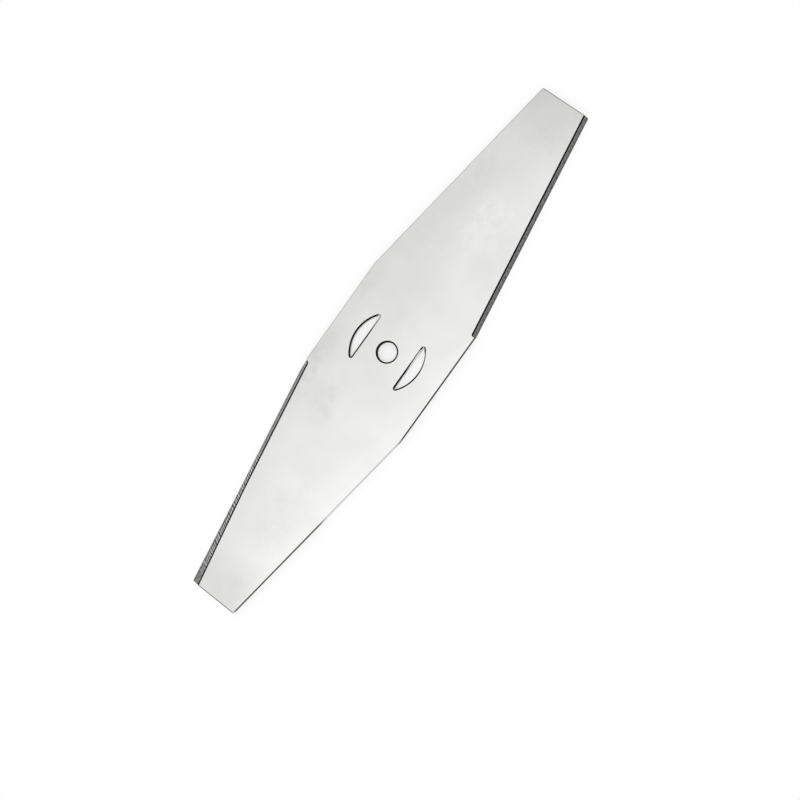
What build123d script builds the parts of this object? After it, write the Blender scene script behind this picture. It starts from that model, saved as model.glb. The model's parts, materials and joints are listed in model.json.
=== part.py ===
"""Grass trimmer blade: one flat strip of steel with a ground cutting edge at each end."""

import os
from math import hypot

from build123d import *

# Sizes are in millimetres.
# The origin is the middle of the bore on the underside. +X runs along the blade, +Z is up.

# Plate
blade_length = 150.0
blade_width = 32.0
flat_length = 32.0
tip_width = 13.6
thickness = 1.2
tip_corner_radius = 0.4
side_corner_radius = 2.0
rolled_edge_radius = 0.12

# Bore for the spindle
bore_diameter = 5.0

# Half-moon slots for the driver, one on each side of the bore
slot_inner_offset = 6.85
slot_depth = 2.65
slot_corner_radius = 0.25

# Shallow rim that the punch drew in around the bore and the slots
hole_rim_width = 0.4
hole_rim_depth = 0.12

# Ground edges, each measured square to its own edge
edge_land = 0.15
shoulder_step = 0.2
grind_overrun = 1.0
grind_middle_share = 0.55

# First edge: how far it starts before the corner beside the flat, and how wide it is
first_start = 0.5
first_corner_radius = 0.5
first_width_at_root = 1.15
first_width_at_middle = 1.15
first_width_at_tip = 1.15

# Second edge, at the other end, ground wider towards its tip
second_start = 2.6
second_corner_radius = 1.0
second_width_at_root = 1.4
second_width_at_middle = 1.5
second_width_at_tip = 2.25

# Points that follow from the sizes
tip_x = blade_length / 2
tip_y = tip_width / 2
side_x = flat_length / 2
side_y = blade_width / 2
slot_arc_radius = slot_inner_offset + slot_depth

# Plate, bore and slots, with the upper edges rounded by the punch
with BuildPart() as plate:
    with BuildSketch(Plane.XY) as outline:
        with BuildLine():
            Polyline(
                (tip_x, -tip_y),
                (tip_x, tip_y),
                (side_x, side_y),
                (-side_x, side_y),
                (-tip_x, tip_y),
                (-tip_x, -tip_y),
                (-side_x, -side_y),
                (side_x, -side_y),
                close=True,
            )
        make_face()
        corners = outline.vertices().sort_by(Axis.X)
        fillet(corners[:2] + corners[-2:], tip_corner_radius)
        fillet(outline.vertices().filter_by_position(Axis.X, -side_x, side_x), side_corner_radius)
        Circle(bore_diameter / 2, mode=Mode.SUBTRACT)
    extrude(amount=thickness)
    for side_plane in (Plane.XY, Plane.XY.rotated((0, 0, 180))):
        with BuildSketch(side_plane) as slot:
            Circle(slot_arc_radius)
            with Locations((0, slot_inner_offset)):
                Rectangle(
                    2 * slot_arc_radius,
                    slot_arc_radius,
                    align=(Align.CENTER, Align.MIN),
                    mode=Mode.INTERSECT,
                )
            fillet(slot.vertices(), slot_corner_radius)
        extrude(amount=thickness, mode=Mode.SUBTRACT)
    fillet(plate.faces().sort_by(Axis.Z)[-1].outer_wire().edges(), rolled_edge_radius)
    upper_face = plate.faces().sort_by(Axis.Z)[-1]
    hole_edges = [edge for hole in upper_face.inner_wires() for edge in hole.edges()]
    chamfer(hole_edges, hole_rim_width, hole_rim_depth, reference=upper_face)

# Line of the first cutting edge, from its root beside the flat to the tip
edge_run_x = tip_x - side_x
edge_run_y = side_y - tip_y
edge_length = hypot(edge_run_x, edge_run_y)
along_edge = Vector(edge_run_x, edge_run_y, 0) / edge_length
across_edge = Vector(-edge_run_y, edge_run_x, 0) / edge_length
root_point = Vector(side_x, -side_y, 0)
middle_point = root_point + along_edge * edge_length * grind_middle_share
overrun_point = root_point + along_edge * (edge_length + grind_overrun)


def grind(start, corner_radius, width_at_root, width_at_middle, width_at_tip):
    """Metal taken away along one edge: a slope up from the land, ended by a low step."""
    start_point = root_point - along_edge * start
    stations = (
        (start_point, width_at_root),
        (middle_point, width_at_middle),
        (overrun_point, width_at_tip),
    )
    with BuildPart() as cut:
        for station, width in stations:
            with BuildSketch(Plane(station, across_edge, along_edge)):
                with BuildLine():
                    Polyline(
                        (-grind_overrun, edge_land),
                        (0, edge_land),
                        (width, thickness - shoulder_step),
                        (width, thickness + grind_overrun),
                        (-grind_overrun, thickness + grind_overrun),
                        close=True,
                    )
                make_face()
        loft(ruled=True)
        root_face = cut.faces().sort_by(Axis(root_point, along_edge))[0]
        inner_edge = root_face.edges().sort_by(Axis(root_point, across_edge))[-1]
        fillet(inner_edge, corner_radius)
    return cut.part


first_grind = grind(
    first_start,
    first_corner_radius,
    first_width_at_root,
    first_width_at_middle,
    first_width_at_tip,
)
second_grind = grind(
    second_start,
    second_corner_radius,
    second_width_at_root,
    second_width_at_middle,
    second_width_at_tip,
)

# Blade, with one edge ground at each end
with BuildPart() as trimmer_blade:
    add(plate.part)
    add(first_grind, mode=Mode.SUBTRACT)
    add(second_grind, rotation=(0, 0, 180), mode=Mode.SUBTRACT)

trimmer_blade.part.label = "trimmer_blade"

os.makedirs("parts", exist_ok=True)
export_step(trimmer_blade.part, "parts/trimmer_blade.step")
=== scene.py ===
"""Looks of the grass trimmer blade: a pale rolled steel plate with two dark ground edges."""

import json
import math
import random
from collections import namedtuple

import bmesh
import bpy
from mathutils import Matrix, Vector


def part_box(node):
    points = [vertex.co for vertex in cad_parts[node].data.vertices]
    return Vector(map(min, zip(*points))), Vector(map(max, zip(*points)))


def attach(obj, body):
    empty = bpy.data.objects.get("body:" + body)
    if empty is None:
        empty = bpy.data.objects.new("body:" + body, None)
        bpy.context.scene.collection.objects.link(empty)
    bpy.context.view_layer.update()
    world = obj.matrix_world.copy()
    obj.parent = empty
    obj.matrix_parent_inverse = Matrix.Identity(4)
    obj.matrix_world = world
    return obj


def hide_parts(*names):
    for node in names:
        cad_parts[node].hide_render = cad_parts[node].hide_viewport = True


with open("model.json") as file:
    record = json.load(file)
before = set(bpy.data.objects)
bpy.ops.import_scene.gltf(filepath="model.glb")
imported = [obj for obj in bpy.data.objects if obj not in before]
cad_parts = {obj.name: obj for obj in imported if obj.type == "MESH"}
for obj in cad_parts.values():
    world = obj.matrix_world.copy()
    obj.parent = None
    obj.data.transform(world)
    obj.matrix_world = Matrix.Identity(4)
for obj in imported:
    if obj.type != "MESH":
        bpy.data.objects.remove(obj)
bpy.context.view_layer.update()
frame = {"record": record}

MM = 0.001
NODE = "trimmer_blade"

# Sizes that the frame gives, in millimetres
low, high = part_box(NODE)
mounts = {mount["name"]: mount for mount in frame["record"]["mounts"]}
BLADE_LENGTH = (high.x - low.x) / MM
BLADE_WIDTH = (high.y - low.y) / MM
THICKNESS = (high.z - low.z) / MM
BORE_RADIUS = mounts["spindle_bore"]["dims"]["r_mm"]

# Sizes of the plate, in millimetres
FLAT_LENGTH = 32.0
TIP_WIDTH = 13.6
TIP_CORNER_RADIUS = 0.4
SIDE_CORNER_RADIUS = 2.0
OUTER_ROLL = 0.12
HOLE_RIM_WIDTH = 0.4
HOLE_RIM_DEPTH = 0.12
LOWER_BREAK = 0.03
SLOT_INNER_OFFSET = 6.85
SLOT_DEPTH = 2.65
SLOT_CORNER_RADIUS = 0.25

# Sizes of the ground edges, in millimetres
EDGE_LAND = 0.15
SHOULDER_STEP = 0.2
GRIND_OVERRUN = 0.12
TIP_OVERRUN = 1.0
GRIND_MIDDLE_SHARE = 0.55
GUTTER_DEPTH = 0.05
GUTTER_WIDTH = 0.12
Grind = namedtuple("Grind", "start corner root_width middle_width tip_width")
FIRST_GRIND = Grind(start=0.5, corner=0.5, root_width=1.15, middle_width=1.15, tip_width=1.15)
SECOND_GRIND = Grind(start=2.6, corner=1.0, root_width=1.4, middle_width=1.5, tip_width=2.25)

# Marks of the grinding wheel, in millimetres: waves at shares of one pitch, slanted along the edge
Marks = namedtuple("Marks", "pitch depth line_width seed")
FIRST_MARKS = Marks(pitch=0.5, depth=0.012, line_width=0.27, seed=11)
SECOND_MARKS = Marks(pitch=0.7, depth=0.028, line_width=0.47, seed=12)
WAVE_SHARES = (0.7, 0.9, 1.2, 1.7, 4.5)
PITCH_JITTER = 0.1
MARK_FADE = 0.15
LAY_SHIFT = 0.525
STREAK_PITCH = 0.7
STREAK_SWING_RAD = 14.0
ROOT_LINE_SHIFT = 0.1

# Fineness of the mesh: steps of round stretches, rows and pitch of the slopes, angle of sharp edges
CORNER_STEPS = 8
BORE_STEPS = 96
SLOT_CORNER_STEPS = 14
SLOT_ARC_STEPS = 64
ROLL_STEPS = 6
ROOT_STEPS = 10
ROWS = 16
COLUMN_PITCH = 0.09
SHARP_ANGLE_DEG = 24

# Smudges on the plate: middle and reach in millimetres, and how dark, or pale where below zero
Smudge = namedtuple("Smudge", "x y reach_x reach_y dark")
SMUDGES = (
    Smudge(x=-72, y=-4, reach_x=9, reach_y=7, dark=0.15),
    Smudge(x=-48, y=-3, reach_x=22, reach_y=11, dark=0.1),
    Smudge(x=-18, y=6, reach_x=8, reach_y=5, dark=0.25),
    Smudge(x=-15, y=14, reach_x=15, reach_y=5, dark=0.27),
    Smudge(x=12, y=14, reach_x=10, reach_y=4, dark=0.15),
    Smudge(x=24, y=7, reach_x=11, reach_y=7, dark=0.05),
    Smudge(x=40, y=-2, reach_x=11, reach_y=8, dark=-0.25),
    Smudge(x=50, y=7, reach_x=14, reach_y=5, dark=0.12),
    Smudge(x=63, y=-1, reach_x=10, reach_y=7, dark=0.12),
)

# Reach of all smudges in height, far past the plate, and how far their borders wander
SMUDGE_REACH_Z = 1000.0
SMUDGE_WANDER = 8.0

# Fineness of the grains, in waves per millimetre along each axis
ROLLING_GRAIN = (0.3, 7.0, 7.0)
SHEAR_STREAKS = (4.0, 4.0, 0.5)
WHEEL_GRAIN = (3.4, 1.6, 1.0)
WHEEL_SCRATCHES = (16.0, 0.7, 1.0)
WHEEL_SWAY = (0.5, 0.2, 1.0)

# How a warm grey departs from a plain one in red, green and blue
WARM_SHIFT = (0.2, 0.4, -1.0)

# Zones of the finishes and of the painted shade along and across the blade, in millimetres: where each
# begins and ends
HALVES_MEET = (-1.0, 1.0)
SHADED_TIPS = (58.0, 74.0)
SHADED_TIP_RIMS = (74.0, 74.7)
BRIGHT_TIP = (-74.0, -74.8)
TIP_LINE_INSETS = (0.3, 0.2)
BRIGHT_SIDE = (-41.0, -18.0)
BRIGHT_SIDE_FADE = 4.0
BRIGHT_SIDE_Y = (-11.0, -10.5)
STREAKED = (-68.0, -42.0)
STREAKED_FADE = 6.0
SECOND_END = (-75.0, -20.0)
EDGE_TO_SHOULDER = (0.0, 0.9)
THIN_LINE = (-70.0, -40.0)

# Border of the painted shadow line at the shoulder, in widths of that line
LINE_BORDER = (0.9, 1.1)

# Zones of the cut walls' painted shade and painted reflection, in millimetres: by radius, by height,
# and along and across the slots
HOLES_REACH = (10.5, 11.0)
SLOTS = (5.0, 10.5)
SLOTS_FADE = 0.5
SHADE_BAND_END = 0.3
SHADE_BAND_BORDER = (0.07, 0.13)
SHADE_BAND_WANDER = 0.2
SLOT_SHADE_BAND_RISE = 0.55
LOWER_SIDE = (-2.0, 2.0)
THINNING_SHADE_BAND = (-4.0, 5.0)
REFLECTION_WIDTHS = (-0.1, 0.19)
THICK_SHADE_BAND_AGAIN = (5.0, 5.8)
REFLECTION_WIDTH_LOSS = (0.0, -0.2)
REFLECTION_BORDER = (-0.03, 0.03)
STRAIGHT_SIDE = (5.0, 7.3)
STRAIGHT_SIDE_FADE = 0.3
PALING_SHADE_BAND = (0.0, 6.5)

# Floor, world and lamps, in metres and watts, with shadows and the world's light as shares
FLOOR_SIZE = 2.0
FLOOR_DROP = 0.00002
FLOOR_SHADOW = 0.26
HOLE_SHADOW = 0.55
HOLE_SHADOW_REACH_MM = (11.0, 13.0)
WORLD_LIGHT = 0.95
WORLD_SEEN = 1.0
Lamp = namedtuple("Lamp", "name place size power")
LAMPS = (
    Lamp(name="key", place=Vector((-0.3, -0.1, 0.9)), size=0.7, power=0.75),
    Lamp(name="side", place=Vector((-0.25, 0.95, 0.28)), size=0.5, power=0.25),
)

# Camera, in metres, with its lens and sensor in millimetres
CAMERA_PLACE = Vector((0.019368, -0.123716, 0.427381))
CAMERA_AIM = Vector((-0.007578, -0.009826, 0.0012))
PICTURE_UP_DEG = 36.827
CAMERA_LENS = 81.0
CAMERA_SENSOR = 36.0
CAMERA_NEAR = 0.01

# Material slots of the blade, and how many levels of a cut edge, from below, count as wall
FACE, RIM, WALL, GROUND = range(4)
WALL_LEVELS = 3

# Points and lines that follow from the sizes
TIP_X = BLADE_LENGTH / 2
TIP_Y = TIP_WIDTH / 2
SIDE_X = FLAT_LENGTH / 2
SIDE_Y = BLADE_WIDTH / 2
SLOT_ARC_RADIUS = SLOT_INNER_OFFSET + SLOT_DEPTH
EDGE_VECTOR = Vector((TIP_X - SIDE_X, SIDE_Y - TIP_Y, 0))
EDGE_LENGTH = EDGE_VECTOR.length
ALONG = EDGE_VECTOR.normalized()
ACROSS = Vector((-ALONG.y, ALONG.x, 0))
ROOT = Vector((SIDE_X, -SIDE_Y, 0))


# Outlines: lists of (point, outward normal), counter-clockwise

def arc(centre, radius, start, end, count):
    """Points of an arc about centre, from one angle to another in radians."""
    points = []
    for step in range(count + 1):
        angle = start + (end - start) * step / count
        normal = Vector((math.cos(angle), math.sin(angle)))
        points.append((centre + radius * normal, normal))
    return points


def plate_outline():
    """The eight-sided outline with its corners rounded."""
    corners = [
        (Vector((TIP_X, -TIP_Y)), TIP_CORNER_RADIUS),
        (Vector((TIP_X, TIP_Y)), TIP_CORNER_RADIUS),
        (Vector((SIDE_X, SIDE_Y)), SIDE_CORNER_RADIUS),
        (Vector((-SIDE_X, SIDE_Y)), SIDE_CORNER_RADIUS),
        (Vector((-TIP_X, TIP_Y)), TIP_CORNER_RADIUS),
        (Vector((-TIP_X, -TIP_Y)), TIP_CORNER_RADIUS),
        (Vector((-SIDE_X, -SIDE_Y)), SIDE_CORNER_RADIUS),
        (Vector((SIDE_X, -SIDE_Y)), SIDE_CORNER_RADIUS),
    ]
    points = []
    for index, (corner, radius) in enumerate(corners):
        before = (corner - corners[index - 1][0]).normalized()
        after = (corners[(index + 1) % len(corners)][0] - corner).normalized()
        turn = before.angle(after)
        start_normal = Vector((before.y, -before.x))
        start = corner - before * radius * math.tan(turn / 2)
        centre = start - radius * start_normal
        first_angle = math.atan2(start_normal.y, start_normal.x)
        points += arc(centre, radius, first_angle, first_angle + turn, CORNER_STEPS)
    return points


def bore_outline():
    """The round bore, with no point twice."""
    return arc(Vector((0, 0)), BORE_RADIUS, 0, 2 * math.pi, BORE_STEPS)[:-1]


def slot_outline(turned):
    """One half-moon slot: an arc about the bore and a straight side, with rounded corners."""
    centre_y = SLOT_INNER_OFFSET + SLOT_CORNER_RADIUS
    centre_x = math.sqrt((SLOT_ARC_RADIUS - SLOT_CORNER_RADIUS) ** 2 - centre_y ** 2)
    reach = math.atan2(centre_y, centre_x)
    right = Vector((centre_x, centre_y))
    left = Vector((-centre_x, centre_y))
    points = arc(right, SLOT_CORNER_RADIUS, -math.pi / 2, reach, SLOT_CORNER_STEPS)
    points += arc(Vector((0, 0)), SLOT_ARC_RADIUS, reach, math.pi - reach, SLOT_ARC_STEPS)[1:-1]
    points += arc(left, SLOT_CORNER_RADIUS, math.pi - reach, 1.5 * math.pi, SLOT_CORNER_STEPS)
    if turned:
        points = [(-point, -normal) for point, normal in points]
    return points


# Plate

def section(roll_width, roll_depth):
    """Inset and height of each ring from the underside to the upper face."""
    rings = [(LOWER_BREAK, 0.0), (0.0, LOWER_BREAK), (0.0, THICKNESS - roll_depth)]
    for step in range(1, ROLL_STEPS + 1):
        angle = math.pi / 2 * step / ROLL_STEPS
        inset = roll_width * (1 - math.cos(angle))
        rings.append((inset, THICKNESS - roll_depth * (1 - math.sin(angle))))
    return rings


def skirt(mesh, outline, roll, inward, roll_material):
    """Walls around one outline. Returns the edges of its lower and upper rings."""
    rings = []
    for inset, height in section(*roll):
        ring = []
        for point, normal in outline:
            place = point - normal * inset * inward
            ring.append(mesh.verts.new((place.x, place.y, height)))
        rings.append(ring)
    count = len(outline)
    for level in range(len(rings) - 1):
        for index in range(count):
            following = (index + 1) % count
            corners = [
                rings[level][index],
                rings[level][following],
                rings[level + 1][following],
                rings[level + 1][index],
            ]
            if inward < 0:
                corners.reverse()
            face = mesh.faces.new(corners)
            face.smooth = True
            face.material_index = WALL if level < WALL_LEVELS else roll_material
    ends = []
    for ring in (rings[0], rings[-1]):
        ends.append([mesh.edges.get((ring[i], ring[(i + 1) % count])) for i in range(count)])
    return ends


def plate_mesh():
    """The flat plate with its bore, its slots and its rolled edges."""
    mesh = bmesh.new()
    lower = []
    upper = []
    outlines = [(plate_outline(), (OUTER_ROLL, OUTER_ROLL), 1, RIM)]
    for hole in (bore_outline(), slot_outline(False), slot_outline(True)):
        outlines.append((hole, (HOLE_RIM_WIDTH, HOLE_RIM_DEPTH), -1, WALL))
    for outline, roll, inward, roll_material in outlines:
        lower_edges, upper_edges = skirt(mesh, outline, roll, inward, roll_material)
        lower += lower_edges
        upper += upper_edges
    for edges, up in ((lower, -1), (upper, 1)):
        filled = bmesh.ops.triangle_fill(mesh, use_beauty=True, edges=edges, normal=(0, 0, up))
        for item in filled["geom"]:
            if isinstance(item, bmesh.types.BMFace):
                item.normal_update()
                if item.normal.z * up < 0:
                    item.normal_flip()
                item.material_index = FACE
    return finished("plate", mesh)


def finished(name, mesh):
    """A mesh made of the faces built so far."""
    result = bpy.data.meshes.new(name)
    mesh.to_mesh(result)
    mesh.free()
    return result


# Ground edges

def grind_marks(marks):
    """A function of the place along the edge that gives the height of the grinding marks."""
    draw = random.Random(marks.seed)
    waves = []
    for share in WAVE_SHARES:
        pitch = marks.pitch * share * draw.uniform(1 - PITCH_JITTER, 1 + PITCH_JITTER)
        waves.append((2 * math.pi / pitch, draw.uniform(0, 2 * math.pi)))

    def height(place):
        return marks.depth * sum(math.sin(rate * place + phase) for rate, phase in waves) / len(waves)

    return height


def grind_columns(grind):
    """Places along the edge of the columns of the ground surface, closer at the rounded root."""
    places_along = []
    for step in range(ROOT_STEPS):
        places_along.append(grind.corner * (1 - math.cos(math.pi / 2 * step / ROOT_STEPS)))
    reach = EDGE_LENGTH + grind.start + TIP_OVERRUN - grind.corner
    count = round(reach / COLUMN_PITCH)
    places_along += [grind.corner + reach * step / count for step in range(count + 1)]
    return [place - grind.start for place in places_along]


def ground_width(grind, along):
    """Width of the slope at a place along the edge."""
    middle = EDGE_LENGTH * GRIND_MIDDLE_SHARE
    if along < middle:
        share = (along + grind.start) / (middle + grind.start)
        return grind.root_width + (grind.middle_width - grind.root_width) * share
    share = (along - middle) / (EDGE_LENGTH + TIP_OVERRUN - middle)
    return grind.middle_width + (grind.tip_width - grind.middle_width) * share


def grind_mesh(grind, marks):
    """Metal taken away along one edge, with the marks of the wheel on its slope."""
    mark_height = grind_marks(marks)
    mesh = bmesh.new()
    columns = []
    for along in grind_columns(grind):
        width = ground_width(grind, along)
        reach = width
        past_root = along + grind.start
        if past_root < grind.corner:
            left = grind.corner - past_root
            reach -= grind.corner - math.sqrt(grind.corner ** 2 - left ** 2)
        column = []
        for row in range(ROWS):
            across = -GRIND_OVERRUN + (GRIND_OVERRUN + reach) * row / (ROWS - 1)
            height = EDGE_LAND + (THICKNESS - SHOULDER_STEP - EDGE_LAND) * across / width
            fade = min(1.0, max(across, 0.0) / MARK_FADE)
            height += mark_height(along - LAY_SHIFT * across) * fade
            height -= GUTTER_DEPTH * math.exp(-((reach - across) / GUTTER_WIDTH) ** 2)
            place = ROOT + ALONG * along + ACROSS * across
            column.append(mesh.verts.new((place.x, place.y, height)))
        columns.append(column)
    for left, right in zip(columns, columns[1:]):
        for row in range(ROWS - 1):
            mesh.faces.new((left[row], left[row + 1], right[row + 1], right[row]))
    close_above(mesh, columns)
    for face in mesh.faces:
        face.smooth = True
        face.material_index = GROUND
    return finished("grind", mesh)


def close_above(mesh, columns):
    """Walls from the border of the ground surface up to a flat lid above the plate."""
    top = THICKNESS + GRIND_OVERRUN
    border = columns[0] + [column[-1] for column in columns[1:]]
    border += columns[-1][-2::-1] + [column[0] for column in columns[-2:0:-1]]
    lid = [mesh.verts.new((vert.co.x, vert.co.y, top)) for vert in border]
    for index in range(len(border)):
        following = (index + 1) % len(border)
        mesh.faces.new((border[following], border[index], lid[index], lid[following]))
    mesh.faces.new(lid[::-1])


def add_edge_places(mesh):
    """Three values at each vertex: how far along and how far in from the ground edge, in
    millimetres, and how far from its shoulder, in widths of the painted shadow line there."""
    along_values = mesh.attributes.new("along", "FLOAT", "POINT")
    across_values = mesh.attributes.new("across", "FLOAT", "POINT")
    shoulder_values = mesh.attributes.new("to_shoulder", "FLOAT", "POINT")
    for vert in mesh.vertices:
        place = Vector((vert.co.x, vert.co.y, 0))
        grind, marks = FIRST_GRIND, FIRST_MARKS
        if place.x < 0:
            place = -place
            grind, marks = SECOND_GRIND, SECOND_MARKS
        along = (place - ROOT).dot(ALONG)
        across = (place - ROOT).dot(ACROSS)
        along_values.data[vert.index].value = along
        across_values.data[vert.index].value = across
        to_side = ground_width(grind, along) - across
        to_root = along + grind.start + ROOT_LINE_SHIFT
        shoulder_values.data[vert.index].value = min(to_side, to_root) / marks.line_width


def new_object(name, data):
    """A mesh, lamp or camera put into the scene."""
    item = bpy.data.objects.new(name, data)
    bpy.context.scene.collection.objects.link(item)
    return item


def blade_piece(materials):
    """The plate with both edges ground, as one closed mesh."""
    plate = new_object("plate", plate_mesh())
    cutters = []
    for grind, marks, turn in ((FIRST_GRIND, FIRST_MARKS, 0), (SECOND_GRIND, SECOND_MARKS, math.pi)):
        mesh = grind_mesh(grind, marks)
        mesh.transform(Matrix.Rotation(turn, 4, "Z"))
        cutters.append(new_object("grind", mesh))
    for item in [plate] + cutters:
        for material in materials:
            item.data.materials.append(material)
    for cutter in cutters:
        cut = plate.modifiers.new("cut", "BOOLEAN")
        cut.operation = "DIFFERENCE"
        cut.solver = "MANIFOLD"
        cut.object = cutter
    graph = bpy.context.evaluated_depsgraph_get()
    mesh = bpy.data.meshes.new_from_object(plate.evaluated_get(graph))
    for item in [plate] + cutters:
        bpy.data.objects.remove(item)
    add_edge_places(mesh)
    mesh.transform(Matrix.Scale(MM, 4))
    mesh.set_sharp_from_angle(angle=math.radians(SHARP_ANGLE_DEG))
    mesh.name = "blade"
    return new_object("blade", mesh)


# Shader nodes

def feed(tree, socket, value):
    """Gives an input another node's output, or a value of its own."""
    if isinstance(value, bpy.types.NodeSocket):
        tree.links.new(value, socket)
    else:
        socket.default_value = value


def add_node(tree, kind, **values):
    """A shader node with its inputs fed by name."""
    node = tree.nodes.new(kind)
    for name, value in values.items():
        feed(tree, node.inputs[name.replace("_", " ")], value)
    return node


def calculate(tree, operation, first, second=0.0, third=0.0):
    """A number worked out from up to three others."""
    node = tree.nodes.new("ShaderNodeMath")
    node.operation = operation
    for socket, value in zip(node.inputs, (first, second, third)):
        feed(tree, socket, value)
    return node.outputs[0]


def combine(tree, operation, *vectors, scale=1.0):
    """A vector, or a length, worked out from other vectors, or one vector scaled by a number."""
    node = tree.nodes.new("ShaderNodeVectorMath")
    node.operation = operation
    for socket, value in zip(node.inputs, vectors):
        feed(tree, socket, value)
    if operation == "SCALE":
        feed(tree, node.inputs["Scale"], scale)
    return node.outputs["Value" if operation == "LENGTH" else "Vector"]


def noise(tree, vector, scale=1.0, detail=3.0, roughness=0.5):
    """Soft random values, mostly near a half."""
    node = add_node(
        tree, "ShaderNodeTexNoise", Vector=vector, Scale=scale, Detail=detail, Roughness=roughness
    )
    return node.outputs["Fac"]


def ramp(tree, value, given, result):
    """A number that goes smoothly between two results as the value goes between two given ones."""
    node = add_node(
        tree,
        "ShaderNodeMapRange",
        Value=value,
        From_Min=given[0],
        From_Max=given[1],
        To_Min=result[0],
        To_Max=result[1],
    )
    node.interpolation_type = "SMOOTHSTEP"
    return node.outputs["Result"]


def between(tree, value, stretch, fade):
    """1 between two values, fading to 0 on both sides."""
    start, end = stretch
    rise = ramp(tree, value, (start - fade, start), (0.0, 1.0))
    fall = ramp(tree, value, (end, end + fade), (1.0, 0.0))
    return calculate(tree, "MULTIPLY", rise, fall)


def mix(tree, share, first, second):
    """A colour between two colours, by the sockets that the node keeps for colours."""
    node = tree.nodes.new("ShaderNodeMix")
    node.data_type = "RGBA"
    sockets = (node.inputs[0], node.inputs[6], node.inputs[7])
    for socket, value in zip(sockets, (share, first, second)):
        feed(tree, socket, value)
    return node.outputs[2]


def grey(level, warm=0.0):
    """A grey, a little warm where asked, as a linear colour."""
    red, green, blue = (level * (1 + warm * shift) for shift in WARM_SHIFT)
    return (red, green, blue, 1.0)


def places(tree):
    """Object coordinates in millimetres."""
    coordinates = tree.nodes.new("ShaderNodeTexCoord")
    return combine(tree, "SCALE", coordinates.outputs["Object"], scale=1 / MM)


def split(tree, vector):
    """The three parts of a vector, by name."""
    return add_node(tree, "ShaderNodeSeparateXYZ", Vector=vector).outputs


def attribute(tree, name):
    """A value that the mesh carries at each vertex."""
    node = tree.nodes.new("ShaderNodeAttribute")
    node.attribute_name = name
    return node.outputs["Fac"]


def steel(name):
    """A bare metal, with its node tree and its shader."""
    material = bpy.data.materials.new(name)
    material.use_nodes = True
    shader = material.node_tree.nodes["Principled BSDF"]
    shader.inputs["Metallic"].default_value = 1.0
    return material, material.node_tree, shader


def at_first_end(tree, axes):
    """1 on the half of the blade with the first edge, and 0 on the half with the second."""
    return ramp(tree, axes["X"], HALVES_MEET, (0.0, 1.0))


def on_bright_side(tree, axes):
    """1 on the stretch of one long side where the cut is bright, and 0 elsewhere."""
    stretch = between(tree, axes["X"], BRIGHT_SIDE, BRIGHT_SIDE_FADE)
    return calculate(tree, "MULTIPLY", stretch, ramp(tree, axes["Y"], BRIGHT_SIDE_Y, (1.0, 0.0)))


# Rolled plate

def smudged(tree, where):
    """How dark the smudges on the plate are at each place."""
    wander = add_node(tree, "ShaderNodeTexNoise", Vector=where, Scale=0.12, Detail=4.0).outputs["Color"]
    wandering = combine(tree, "MULTIPLY_ADD", wander, (SMUDGE_WANDER, SMUDGE_WANDER, 0), where)
    total = 0.0
    for smudge in SMUDGES:
        spot = add_node(
            tree,
            "ShaderNodeMapping",
            Vector=wandering,
            Location=(smudge.x + SMUDGE_WANDER / 2, smudge.y + SMUDGE_WANDER / 2, 0),
            Scale=(smudge.reach_x, smudge.reach_y, SMUDGE_REACH_Z),
        )
        spot.vector_type = "TEXTURE"
        away = combine(tree, "LENGTH", spot.outputs[0])
        total = calculate(tree, "ADD", ramp(tree, away, (0.1, 1.2), (smudge.dark, 0.0)), total)
    ragged = ramp(tree, noise(tree, where, scale=0.5, roughness=0.6), (0.35, 0.65), (0.6, 1.4))
    return calculate(tree, "MULTIPLY", total, ragged)


def rolled_steel():
    """Pale sheet with soft clouds, a few smudges, painted shade towards +Y and towards the tips, and a
    fine grain along the blade.
    """
    material, tree, shader = steel("rolled_steel")
    where = places(tree)
    axes = split(tree, where)
    from_middle = calculate(tree, "ABSOLUTE", axes["X"])
    clouds = noise(tree, where, scale=0.06)
    mottle = noise(tree, where, scale=0.45, detail=4.0, roughness=0.6)
    grain = noise(tree, combine(tree, "MULTIPLY", where, ROLLING_GRAIN), detail=4.0, roughness=0.6)
    tip_shade = ramp(tree, from_middle, SHADED_TIPS, (0.0, 1.0))

    # Each pattern adds its share to the tone; the shares along Y and at the tips are painted shade,
    # darker towards +Y and towards both tips
    shares = (
        (clouds, 0.6),
        (mottle, 0.15),
        (grain, 0.2),
        (axes["Y"], -0.010),
        (tip_shade, -0.36),
        (smudged(tree, where), -1.0),
    )
    level = 0.18
    for pattern, share in shares:
        level = calculate(tree, "MULTIPLY_ADD", pattern, share, level)
    tone = mix(tree, level, grey(0.56, warm=0.022), grey(0.80, warm=0.012))

    # A thin line along each tip is darker, painted shade that carries the rim's dark line onto the
    # face, most of all at the second edge's end
    to_tip = calculate(tree, "SUBTRACT", TIP_X, from_middle)
    tip_line = ramp(tree, to_tip, TIP_LINE_INSETS, (0.0, 1.0))
    line_tone = mix(tree, at_first_end(tree, axes), grey(0.2), grey(0.42))
    tone = mix(tree, tip_line, tone, line_tone)
    tree.links.new(tone, shader.inputs["Base Color"])
    tree.links.new(calculate(tree, "MULTIPLY_ADD", grain, 0.08, 0.38), shader.inputs["Roughness"])
    bump = add_node(tree, "ShaderNodeBump", Strength=0.25, Distance=0.00002, Height=grain)
    tree.links.new(bump.outputs[0], shader.inputs["Normal"])
    return material


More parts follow.
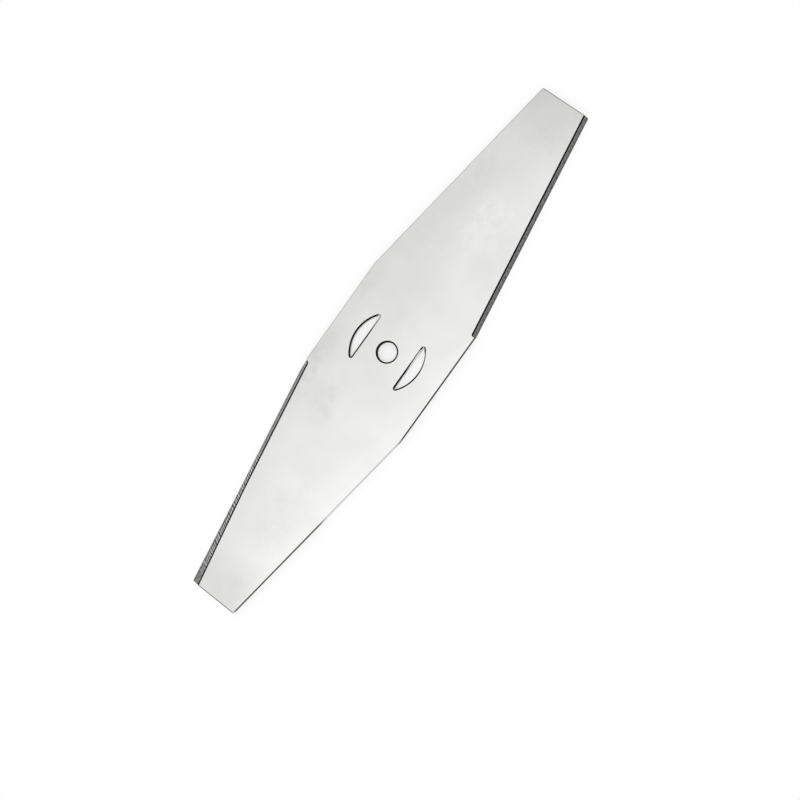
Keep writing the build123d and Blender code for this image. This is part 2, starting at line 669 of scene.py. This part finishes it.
def rolled_rim():
    """Rounded upper edge of the outline, nearly black with painted dark reflection and shade, bright on
    one stretch and an even painted shade at the tips.
    """
    material, tree, shader = steel("rolled_rim")
    where = places(tree)
    axes = split(tree, where)
    tone = mix(tree, noise(tree, where, scale=0.8), grey(0.05, warm=0.01), grey(0.18, warm=0.01))
    tone = mix(tree, on_bright_side(tree, axes), tone, grey(0.4))
    tip_shade = ramp(tree, calculate(tree, "ABSOLUTE", axes["X"]), SHADED_TIP_RIMS, (0.0, 1.0))
    tone = mix(tree, tip_shade, tone, grey(0.1))
    tree.links.new(tone, shader.inputs["Base Color"])
    shader.inputs["Roughness"].default_value = 0.4
    return material


# Cut walls

def hole_places(tree, axes):
    """How far a place is from the bore's middle, and how far outside the line of a slot."""
    square = calculate(tree, "MULTIPLY", axes["Y"], axes["Y"])
    square = calculate(tree, "MULTIPLY_ADD", axes["X"], axes["X"], square)
    radius = calculate(tree, "SQRT", square)
    from_middle = calculate(tree, "ABSOLUTE", axes["Y"])
    past_straight = calculate(tree, "SUBTRACT", SLOT_INNER_OFFSET, from_middle)
    past_arc = calculate(tree, "SUBTRACT", radius, SLOT_ARC_RADIUS)
    return radius, calculate(tree, "MAXIMUM", past_straight, past_arc)


def shade_band_mask(tree, where, axes, in_slots):
    """1 high on a wall, in the band of painted shade, and 0 below it."""
    band_end = calculate(tree, "MULTIPLY_ADD", in_slots, SLOT_SHADE_BAND_RISE, SHADE_BAND_END)
    height = calculate(tree, "MULTIPLY_ADD", noise(tree, where, scale=1.1), SHADE_BAND_WANDER, axes["Z"])
    return ramp(tree, calculate(tree, "SUBTRACT", height, band_end), SHADE_BAND_BORDER, (0.0, 1.0))


def slot_reflection(tree, axes, in_slots, outside):
    """1 where the lower slot's wall shows the painted reflection in place of the band of painted shade:
    the band thins to a line towards +X, short of its end.
    """
    in_lower = calculate(tree, "MULTIPLY", in_slots, ramp(tree, axes["Y"], LOWER_SIDE, (1.0, 0.0)))
    width = ramp(tree, axes["X"], THINNING_SHADE_BAND, REFLECTION_WIDTHS)
    width = calculate(tree, "ADD", width, ramp(tree, axes["X"], THICK_SHADE_BAND_AGAIN, REFLECTION_WIDTH_LOSS))
    reflecting = ramp(tree, calculate(tree, "SUBTRACT", outside, width), REFLECTION_BORDER, (1.0, 0.0))
    return calculate(tree, "MULTIPLY", reflecting, in_lower)


def sheared_steel():
    """Cut walls: an upper band nearly black with painted shade, and below it painted shade on the
    outline and a bright painted reflection of the floor in the holes.
    """
    material, tree, shader = steel("sheared_steel")
    where = places(tree)
    axes = split(tree, where)
    radius, outside = hole_places(tree, axes)
    in_slots = between(tree, radius, SLOTS, SLOTS_FADE)
    streaks = noise(tree, combine(tree, "MULTIPLY", where, SHEAR_STREAKS))
    upper_shade = mix(tree, streaks, grey(0.004), grey(0.016))
    lower_shade = mix(tree, streaks, grey(0.006), grey(0.04))
    bright = mix(tree, streaks, grey(0.55), grey(0.9))

    # The upper band's painted shade pales along the straight side of the upper slot
    straight = between(tree, axes["Y"], STRAIGHT_SIDE, STRAIGHT_SIDE_FADE)
    paled = calculate(tree, "MULTIPLY", straight, ramp(tree, axes["X"], PALING_SHADE_BAND, (0.0, 1.0)))
    upper_shade = mix(tree, paled, upper_shade, grey(0.36))

    # Below the band, the holes get a bright painted reflection of the white floor and the outline a
    # dark painted shade
    below = mix(tree, ramp(tree, radius, HOLES_REACH, (1.0, 0.0)), lower_shade, bright)
    kept = calculate(tree, "SUBTRACT", 1.0, slot_reflection(tree, axes, in_slots, outside))
    shade_band = calculate(tree, "MULTIPLY", shade_band_mask(tree, where, axes, in_slots), kept)
    tone = mix(tree, shade_band, below, upper_shade)

    # A stretch of one long side and one tip are bright all over
    at_tip = ramp(tree, axes["X"], BRIGHT_TIP, (0.0, 1.0))
    bare = calculate(tree, "MAXIMUM", on_bright_side(tree, axes), at_tip)
    tree.links.new(mix(tree, bare, tone, bright), shader.inputs["Base Color"])
    shader.inputs["Roughness"].default_value = 0.5
    return material


# Ground slopes

def wheel_marks(tree, along, across):
    """A fine grain with scratches, and streaks that sway, all along the wheel's lay."""
    lay = calculate(tree, "MULTIPLY_ADD", across, -LAY_SHIFT, along)
    vector = add_node(tree, "ShaderNodeCombineXYZ", X=lay, Y=across).outputs[0]
    grain = noise(tree, combine(tree, "MULTIPLY", vector, WHEEL_GRAIN), roughness=0.7)
    grain = ramp(tree, grain, (0.36, 0.64), (0.0, 0.65))
    scratches = noise(tree, combine(tree, "MULTIPLY", vector, WHEEL_SCRATCHES), roughness=0.6)
    scratches = ramp(tree, scratches, (0.35, 0.65), (0.0, 0.35))
    grain = calculate(tree, "ADD", grain, scratches)
    sway = noise(tree, combine(tree, "MULTIPLY", vector, WHEEL_SWAY), detail=2.0)
    swing = calculate(tree, "MULTIPLY", sway, STREAK_SWING_RAD)
    phase = calculate(tree, "MULTIPLY_ADD", lay, 2 * math.pi / STREAK_PITCH, swing)
    wave = ramp(tree, calculate(tree, "SINE", phase), (-0.6, 0.6), (0.0, 0.75))
    streaks = calculate(tree, "MULTIPLY_ADD", grain, 0.3, wave)
    return grain, streaks


def ground_steel():
    """Ground slopes, darkened with painted dark reflection: marks along the wheel's lay and a nearly
    black painted shadow line at the shoulder.
    """
    material, tree, shader = steel("ground_steel")
    axes = split(tree, places(tree))
    across = attribute(tree, "across")
    grain, streaks = wheel_marks(tree, attribute(tree, "along"), across)

    # Both carry painted dark reflection. The first edge has a fine dark grain. The second is paler,
    # with streaks towards its tip.
    first = mix(tree, grain, grey(0.045), grey(0.24))
    second = mix(tree, grain, grey(0.075), grey(0.32))
    plain = mix(tree, at_first_end(tree, axes), second, first)
    streaked = between(tree, axes["X"], STREAKED, STREAKED_FADE)
    tone = mix(tree, streaked, plain, mix(tree, streaks, grey(0.006), grey(0.46)))

    # Painted shade: both lighten towards the shoulder, and the second one away from its tip
    from_edge = ramp(tree, across, EDGE_TO_SHOULDER, (0.75, 1.3))
    from_tip = ramp(tree, axes["X"], SECOND_END, (0.8, 1.12))
    tone = combine(tree, "SCALE", tone, scale=calculate(tree, "MULTIPLY", from_edge, from_tip))

    # A nearly black painted shadow line runs along each shoulder; at the second edge it thins towards
    # the tip
    narrowing = ramp(tree, axes["X"], THIN_LINE, (1.0, 0.83))
    to_shoulder = calculate(tree, "MULTIPLY", attribute(tree, "to_shoulder"), narrowing)
    line = ramp(tree, to_shoulder, LINE_BORDER, (1.0, 0.0))
    tree.links.new(mix(tree, line, tone, grey(0.006)), shader.inputs["Base Color"])
    shader.inputs["Roughness"].default_value = 0.42
    return material


# Stage

def seen_rays(tree):
    """1 for rays that the camera, a gloss or a clear body sends out, and 0 for the light's own rays."""
    path = tree.nodes.new("ShaderNodeLightPath")
    first = calculate(tree, "MAXIMUM", path.outputs["Is Camera Ray"], path.outputs["Is Glossy Ray"])
    return calculate(tree, "MAXIMUM", first, path.outputs["Is Transmission Ray"])


def make_world():
    """A white studio that is seen as white and lights the blade a little less."""
    world = bpy.data.worlds.new("studio")
    bpy.context.scene.world = world
    world.use_nodes = True
    tree = world.node_tree
    background = tree.nodes["Background"]
    background.inputs["Color"].default_value = (1, 1, 1, 1)
    strength = calculate(tree, "MULTIPLY_ADD", seen_rays(tree), WORLD_SEEN - WORLD_LIGHT, WORLD_LIGHT)
    tree.links.new(strength, background.inputs["Strength"])


def floor_material():
    """White that keeps part of the blade's shadow, and more of it where the holes show it."""
    material = bpy.data.materials.new("floor")
    material.use_nodes = True
    tree = material.node_tree
    tree.nodes.remove(tree.nodes["Principled BSDF"])
    diffuse = add_node(tree, "ShaderNodeBsdfDiffuse", Color=(0.97, 0.97, 0.97, 1))
    glow = add_node(tree, "ShaderNodeEmission", Color=(1, 1, 1, 1), Strength=1.0)
    away = combine(tree, "LENGTH", places(tree))
    glow_share = ramp(tree, away, HOLE_SHADOW_REACH_MM, (1 - HOLE_SHADOW, 1 - FLOOR_SHADOW))
    both = tree.nodes.new("ShaderNodeMixShader")
    tree.links.new(calculate(tree, "MULTIPLY", seen_rays(tree), glow_share), both.inputs[0])
    tree.links.new(diffuse.outputs[0], both.inputs[1])
    tree.links.new(glow.outputs[0], both.inputs[2])
    tree.links.new(both.outputs[0], tree.nodes["Material Output"].inputs["Surface"])
    return material


def make_floor():
    """A wide flat floor, a hair below the blade."""
    mesh = bmesh.new()
    bmesh.ops.create_grid(mesh, x_segments=1, y_segments=1, size=FLOOR_SIZE)
    floor = new_object("floor", finished("floor", mesh))
    floor.location.z = -FLOOR_DROP
    floor.data.materials.append(floor_material())


def make_lamp(lamp):
    """A round soft lamp that shines at the blade's middle."""
    data = bpy.data.lights.new(lamp.name, "AREA")
    data.shape = "DISK"
    data.size = lamp.size
    data.energy = lamp.power
    item = new_object(lamp.name, data)
    item.location = lamp.place
    item.rotation_euler = (-lamp.place).to_track_quat("-Z", "Y").to_euler()


def make_camera():
    """A camera at the photograph's place, turned so that the blade leans as it does there."""
    data = bpy.data.cameras.new("camera")
    data.lens = CAMERA_LENS
    data.sensor_width = CAMERA_SENSOR
    data.sensor_fit = "HORIZONTAL"
    data.clip_start = CAMERA_NEAR
    camera = new_object("camera", data)
    turn = math.radians(PICTURE_UP_DEG)
    back = (CAMERA_PLACE - CAMERA_AIM).normalized()
    right = Vector((math.cos(turn), math.sin(turn), 0)).cross(back).normalized()
    up = back.cross(right)
    axes = Matrix((right, up, back)).transposed()
    camera.matrix_world = Matrix.Translation(CAMERA_PLACE) @ axes.to_4x4()
    bpy.context.scene.camera = camera


# Blade and stage together

blade = blade_piece([rolled_steel(), rolled_rim(), sheared_steel(), ground_steel()])
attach(blade, "root")
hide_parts(NODE)

bpy.context.scene.view_settings.view_transform = "Standard"
make_world()
make_floor()
for studio_lamp in LAMPS:
    make_lamp(studio_lamp)
make_camera()
